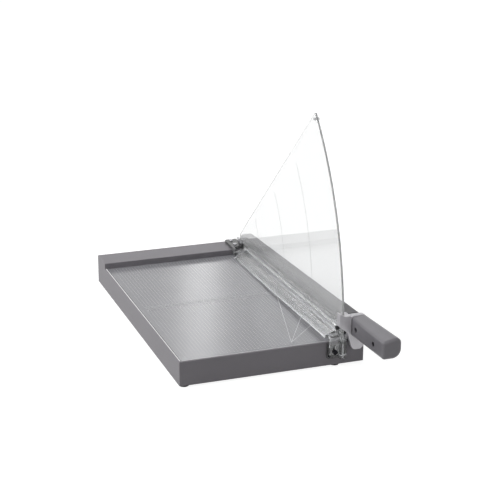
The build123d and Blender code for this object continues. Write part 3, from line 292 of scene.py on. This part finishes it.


# ------------------------------------------------------------------ printed marks and painted edge highlights

# Real printing has finer dots and thinner lines: these are as coarse as they need to be to show.
INK = 0.06 * MM  # how far each printed layer lies above the face or layer below it
LINE_WIDTH = 0.55 * MM

GRID_PITCH = 5 * MM
GRID_MARGIN = 6 * MM
DOT_RADIUS = 0.55 * MM
DOT_SIDES = 6

SCALE_FROM_FRONT = 203 * MM
SCALE_LEFT_INSET = 10 * MM
SCALE_RIGHT_INSET = 21 * MM
SCALE_GAP = 5 * MM
TICK_PITCH = 5 * MM
NUMERAL_STEP = 50 * MM
NUMERAL_SIZE = 4.5 * MM
NUMERAL_ARC_STEPS = 3

FAN_FROM_RIGHT = 68 * MM
FAN_FROM_FRONT = 12 * MM
FAN_RAYS = ((45, 78 * MM), (60, 103 * MM), (75, 186 * MM))  # degrees, length

RIM_HIGHLIGHT = 1.4 * MM
RIM_HIGHLIGHT_IN = 1.9 * MM
EDGE_LINE = 0.7 * MM


def add_piece(name, mesh):
    """Puts a finished mesh in the scene as a piece of the base."""
    piece = bpy.data.objects.new(name, mesh)
    bpy.context.scene.collection.objects.link(piece)
    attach(piece, "base")


def flat_mesh(name, corners, faces, material):
    """A thin flat mesh from points in metres, for print and for painted highlights."""
    mesh = bpy.data.meshes.new(name)
    mesh.from_pydata(corners, [], faces)
    mesh.materials.append(material)
    return mesh


def bar(start, end, width, height):
    """The four corners of a printed line between two points (x, y), as wide as given."""
    along = Vector((end[0] - start[0], end[1] - start[1])).normalized()
    side = Vector((-along.y, along.x)) * width / 2
    ends = (Vector(start) - side, Vector(end) - side, Vector(end) + side, Vector(start) + side)
    return [(point.x, point.y, height) for point in ends]


def print_lines(name, lines, height, material):
    """Straight lines that face up, for print and for painted highlights, each (start, end, width),
    joined in one piece.
    """
    corners, faces = [], []
    for start, end, width in lines:
        first = len(corners)
        corners += bar(start, end, width, height)
        faces.append((first, first + 1, first + 2, first + 3))
    add_piece(name, flat_mesh(name, corners, faces, material))


def dot_grid_tree(material):
    """Geometry nodes: a field of small flat dots in rows and columns."""
    tree = bpy.data.node_groups.new("dot_grid", "GeometryNodeTree")
    for title, kind in {
        "Width": "Float", "Depth": "Float", "Columns": "Int", "Rows": "Int", "Dot": "Float",
    }.items():
        tree.interface.new_socket(title, in_out="INPUT", socket_type="NodeSocket" + kind)
    tree.interface.new_socket("Geometry", in_out="OUTPUT", socket_type="NodeSocketGeometry")
    sizes = node(tree, "NodeGroupInput").outputs
    field = node(tree, "GeometryNodeMeshGrid", {
        "Size X": sizes["Width"], "Size Y": sizes["Depth"],
        "Vertices X": sizes["Columns"], "Vertices Y": sizes["Rows"],
    })
    dot = node(tree, "GeometryNodeMeshCircle", {
        "Vertices": DOT_SIDES, "Radius": sizes["Dot"],
    }, fill_type="NGON")
    dots = node(tree, "GeometryNodeInstanceOnPoints", {
        "Points": field.outputs["Mesh"], "Instance": dot.outputs["Mesh"],
    })
    real = node(tree, "GeometryNodeRealizeInstances", {"Geometry": dots.outputs["Instances"]})
    inked = node(tree, "GeometryNodeSetMaterial", {
        "Geometry": real.outputs["Geometry"], "Material": material,
    })
    node(tree, "NodeGroupOutput", {"Geometry": inked.outputs["Geometry"]})
    return tree


def baked(tree, values):
    """The plain mesh that a geometry nodes tree makes with the given input values."""
    host = bpy.data.objects.new("host", bpy.data.meshes.new("host"))
    bpy.context.scene.collection.objects.link(host)
    modifier = host.modifiers.new("nodes", "NODES")
    modifier.node_group = tree
    for item in tree.interface.items_tree:
        if item.in_out == "INPUT" and item.name in values:
            modifier[item.identifier] = values[item.name]
    graph = bpy.context.evaluated_depsgraph_get()
    mesh = bpy.data.meshes.new_from_object(host.evaluated_get(graph))
    bpy.data.objects.remove(host)
    return mesh


def numeral(text, size, spot):
    """The mesh of a plain printed number, flat on the table, with its middle at the spot."""
    data = bpy.data.curves.new("numeral", "FONT")
    data.body = text
    data.size = size
    data.align_x = "CENTER"
    data.align_y = "CENTER"
    data.resolution_u = NUMERAL_ARC_STEPS
    words = bpy.data.objects.new("numeral", data)
    bpy.context.scene.collection.objects.link(words)
    graph = bpy.context.evaluated_depsgraph_get()
    mesh = bpy.data.meshes.new_from_object(words.evaluated_get(graph))
    bpy.data.objects.remove(words)
    mesh.transform(Matrix.Translation(spot))
    return mesh


# The field of dots over the whole table.
table_low, table_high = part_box("table_plate")
dot_height = table_high[2] + INK
line_height = dot_height + INK
columns = int((table_high[0] - table_low[0] - 2 * GRID_MARGIN) / GRID_PITCH) + 1
rows = int((table_high[1] - table_low[1] - 2 * GRID_MARGIN) / GRID_PITCH) + 1
grid_middle = ((table_low[0] + table_high[0]) / 2, (table_low[1] + table_high[1]) / 2)
grid_mesh = baked(dot_grid_tree(light_ink_and_highlight), {
    "Width": (columns - 1) * GRID_PITCH, "Depth": (rows - 1) * GRID_PITCH,
    "Columns": columns, "Rows": rows, "Dot": DOT_RADIUS,
})
grid_mesh.transform(Matrix.Translation((*grid_middle, dot_height)))
add_piece("table_grid_dots", grid_mesh)

# The scale across the table: three parallel lines, with a tick at every 5 mm and a longer one at
# every 10 mm.
scale_y = table_low[1] + SCALE_FROM_FRONT
scale_start = table_low[0] + SCALE_LEFT_INSET
scale_end = table_high[0] - SCALE_RIGHT_INSET
scale_lines = []
for step in (-1, 0, 1):
    across_y = scale_y + step * SCALE_GAP
    scale_lines.append(((scale_start, across_y), (scale_end, across_y), LINE_WIDTH))
for tick in range(int((scale_end - scale_start) / TICK_PITCH) + 1):
    tick_x = scale_start + tick * TICK_PITCH
    tick_length = SCALE_GAP if tick % 2 == 0 else SCALE_GAP / 2
    scale_lines.append(((tick_x, scale_y), (tick_x, scale_y + tick_length), LINE_WIDTH / 2))
print_lines("table_scale_lines", scale_lines, line_height, light_ink_and_highlight)

# Its numbers, in centimetres, one gap below the lowest line.
corners, faces = [], []
for count in range(int((scale_end - scale_start) / NUMERAL_STEP) + 1):
    spot = (scale_start + count * NUMERAL_STEP, scale_y - 2 * SCALE_GAP, line_height)
    drawn = numeral(str(round(count * NUMERAL_STEP / CM)), NUMERAL_SIZE, spot)
    first = len(corners)
    corners += [tuple(vertex.co) for vertex in drawn.vertices]
    faces += [tuple(first + i for i in face.vertices) for face in drawn.polygons]
numbers_mesh = flat_mesh("table_scale_numbers", corners, faces, light_ink_and_highlight)
add_piece("table_scale_numbers", numbers_mesh)

# The angle fan: lines from one corner point near the front, at the usual angles for trimming.
fan_point = (table_high[0] - FAN_FROM_RIGHT, table_low[1] + FAN_FROM_FRONT)
fan_lines = []
for angle, reach in FAN_RAYS:
    slope = math.radians(angle)
    fan_end = (fan_point[0] + reach * math.cos(slope), fan_point[1] + reach * math.sin(slope))
    fan_lines.append((fan_point, fan_end, LINE_WIDTH))
print_lines("table_angle_fan", fan_lines, line_height, light_ink_and_highlight)

# Painted highlights: thin bright lines where light catches the shell's left rim and the plate's
# front edge.
shell_low, shell_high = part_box("base_shell")
rim_x = shell_low[0] + RIM_HIGHLIGHT_IN
rim_highlight = ((rim_x, table_low[1]), (rim_x, table_high[1]), RIM_HIGHLIGHT)
print_lines("left_rim_highlight", [rim_highlight], shell_high[2] + INK, painted_edge_highlight)
# Painted highlight: the light line along the plate's front edge, drawn in the light ink.
edge_y = table_low[1] + EDGE_LINE
edge_line = ((table_low[0] + EDGE_LINE, edge_y), (table_high[0] - EDGE_LINE, edge_y), EDGE_LINE)
print_lines("plate_front_edge_highlight", [edge_line], dot_height, light_ink_and_highlight)


# ------------------------------------------------------------------ fine lines on the guard

# The guard's face on the table's side carries three faint lines, arcs about the lever's pivot.
ARC_RADII = (108 * MM, 216 * MM, 325 * MM)
ARC_WIDTH = 0.6 * MM
ARC_FROM, ARC_TO = math.radians(2), math.radians(39)
ARC_STEPS = 48

guard_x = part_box("guard_plate")[0][0] - INK
pivot = joints["arm_hinge"]["pos_m"]
corners, faces = [], []
for radius in ARC_RADII:
    for step in range(ARC_STEPS + 1):
        angle = ARC_FROM + (ARC_TO - ARC_FROM) * step / ARC_STEPS
        for reach in (radius - ARC_WIDTH / 2, radius + ARC_WIDTH / 2):
            arc_y = pivot[1] - reach * math.cos(angle)
            arc_z = pivot[2] + reach * math.sin(angle)
            corners.append((guard_x, arc_y, arc_z))
        if step:
            end = len(corners)
            faces.append((end - 4, end - 2, end - 1, end - 3))
add_piece("guard_arc_lines", flat_mesh("guard_arc_lines", corners, faces, ink_dark))


# ------------------------------------------------------------------ camera, floor and light

# The camera's place in metres, its angles in degrees, its lens and sensor in millimetres.
CAMERA_PLACE = (-0.64505, -1.8069, 0.7821)
CAMERA_AZIMUTH = -20.31
CAMERA_ELEVATION = 18.82
CAMERA_ROLL = 0.396
CAMERA_LENS = 100.30
CAMERA_SHIFT = 0.001
CAMERA_NEAR = 0.05
SENSOR = 36.0

AMBIENT = 0.33
FLOOR_HALF = 6.0
FLOOR_GLOW = 0.9
WHITE = (1, 1, 1, 1)


def set_camera():
    """The camera, from its place and its three angles."""
    azimuth = math.radians(CAMERA_AZIMUTH)
    elevation = math.radians(CAMERA_ELEVATION)
    roll = math.radians(CAMERA_ROLL)
    back = Vector((
        math.sin(azimuth) * math.cos(elevation),
        -math.cos(azimuth) * math.cos(elevation),
        math.sin(elevation),
    ))
    level_right = Vector((math.cos(azimuth), math.sin(azimuth), 0))
    right = math.cos(roll) * level_right + math.sin(roll) * back.cross(level_right)
    up = back.cross(right)
    turn = Matrix((right, up, back)).transposed().to_4x4()
    data = bpy.data.cameras.new("camera")
    data.lens = CAMERA_LENS
    data.sensor_width = SENSOR
    data.shift_x = -CAMERA_SHIFT
    data.shift_y = CAMERA_SHIFT
    data.clip_start = CAMERA_NEAR
    camera = bpy.data.objects.new("camera", data)
    camera.matrix_world = Matrix.Translation(CAMERA_PLACE) @ turn
    bpy.context.scene.collection.objects.link(camera)
    bpy.context.scene.camera = camera


def seen_ray(tree):
    """1 for rays from the camera, from gloss and through clear plastic, otherwise 0."""
    rays = node(tree, "ShaderNodeLightPath").outputs
    glossy = node(tree, "ShaderNodeMath", {
        0: rays["Is Camera Ray"], 1: rays["Is Glossy Ray"],
    }, operation="MAXIMUM")
    seen = node(tree, "ShaderNodeMath", {
        0: glossy.outputs[0], 1: rays["Is Transmission Ray"],
    }, operation="MAXIMUM")
    return seen.outputs[0]


def set_world():
    """A white world where it is seen, and a softer one that lights the object."""
    world = bpy.data.worlds.new("studio")
    world.use_nodes = True
    tree = world.node_tree
    strength = node(tree, "ShaderNodeMapRange", {
        "Value": seen_ray(tree), "To Min": AMBIENT, "To Max": 1.0,
    })
    background = tree.nodes["Background"]
    background.inputs["Color"].default_value = WHITE
    tree.links.new(strength.outputs["Result"], background.inputs["Strength"])
    bpy.context.scene.world = world


def set_floor():
    """A pale floor that keeps the object's shadow and is white where nothing shades it."""
    mesh = bpy.data.meshes.new("floor")
    half = FLOOR_HALF
    mesh.from_pydata(
        [(-half, -half, 0), (half, -half, 0), (half, half, 0), (-half, half, 0)],
        [], [(0, 1, 2, 3)],
    )
    floor = bpy.data.objects.new("floor", mesh)
    bpy.context.scene.collection.objects.link(floor)
    material, tree, shader = finish("pale_floor", "#a4a4a4", roughness=0.9)
    shader.inputs["Specular IOR Level"].default_value = 0.0
    shader.inputs["Emission Color"].default_value = WHITE
    glow = node(tree, "ShaderNodeMath", {0: seen_ray(tree), 1: FLOOR_GLOW}, operation="MULTIPLY")
    tree.links.new(glow.outputs[0], shader.inputs["Emission Strength"])
    mesh.materials.append(material)


def set_lamp(name, place, aim, size, watts):
    """A rectangular soft box, (width, height), that points at a place on the object."""
    data = bpy.data.lights.new(name, "AREA")
    data.shape = "RECTANGLE"
    data.size, data.size_y = size
    data.energy = watts
    lamp = bpy.data.objects.new(name, data)
    direction = Vector(aim) - Vector(place)
    lamp.rotation_euler = direction.to_track_quat("-Z", "Y").to_euler()
    lamp.location = place
    bpy.context.scene.collection.objects.link(lamp)


set_camera()
set_world()
set_floor()

# The main light, which throws the shadow to the right.
set_lamp(
    "top_left_soft_box", place=(-1.35, 0.3, 1.6), aim=(0, 0, 0), size=(1.15, 1.15), watts=28,
)
# A weak light for the faces that look to the front.
set_lamp(
    "front_fill", place=(0.6, -2.6, 1.2), aim=(0, 0, 0.1), size=(1.8, 1.8), watts=6,
)
# A tall strip that the table's coat mirrors as a lighter zone.
set_lamp(
    "rear_strip", place=(0.555, 1.87, 0.95), aim=(-0.09, 0.02, 0.04), size=(0.1, 0.9), watts=0.75,
)
# A small light from behind that brightens the edges turned to it.
set_lamp(
    "rear_left_edge_light", place=(-0.58, 1.57, 0.74), aim=(0, 0, 0.04), size=(0.35, 0.35),
    watts=0.9,
)

bpy.context.scene.view_settings.view_transform = "Standard"
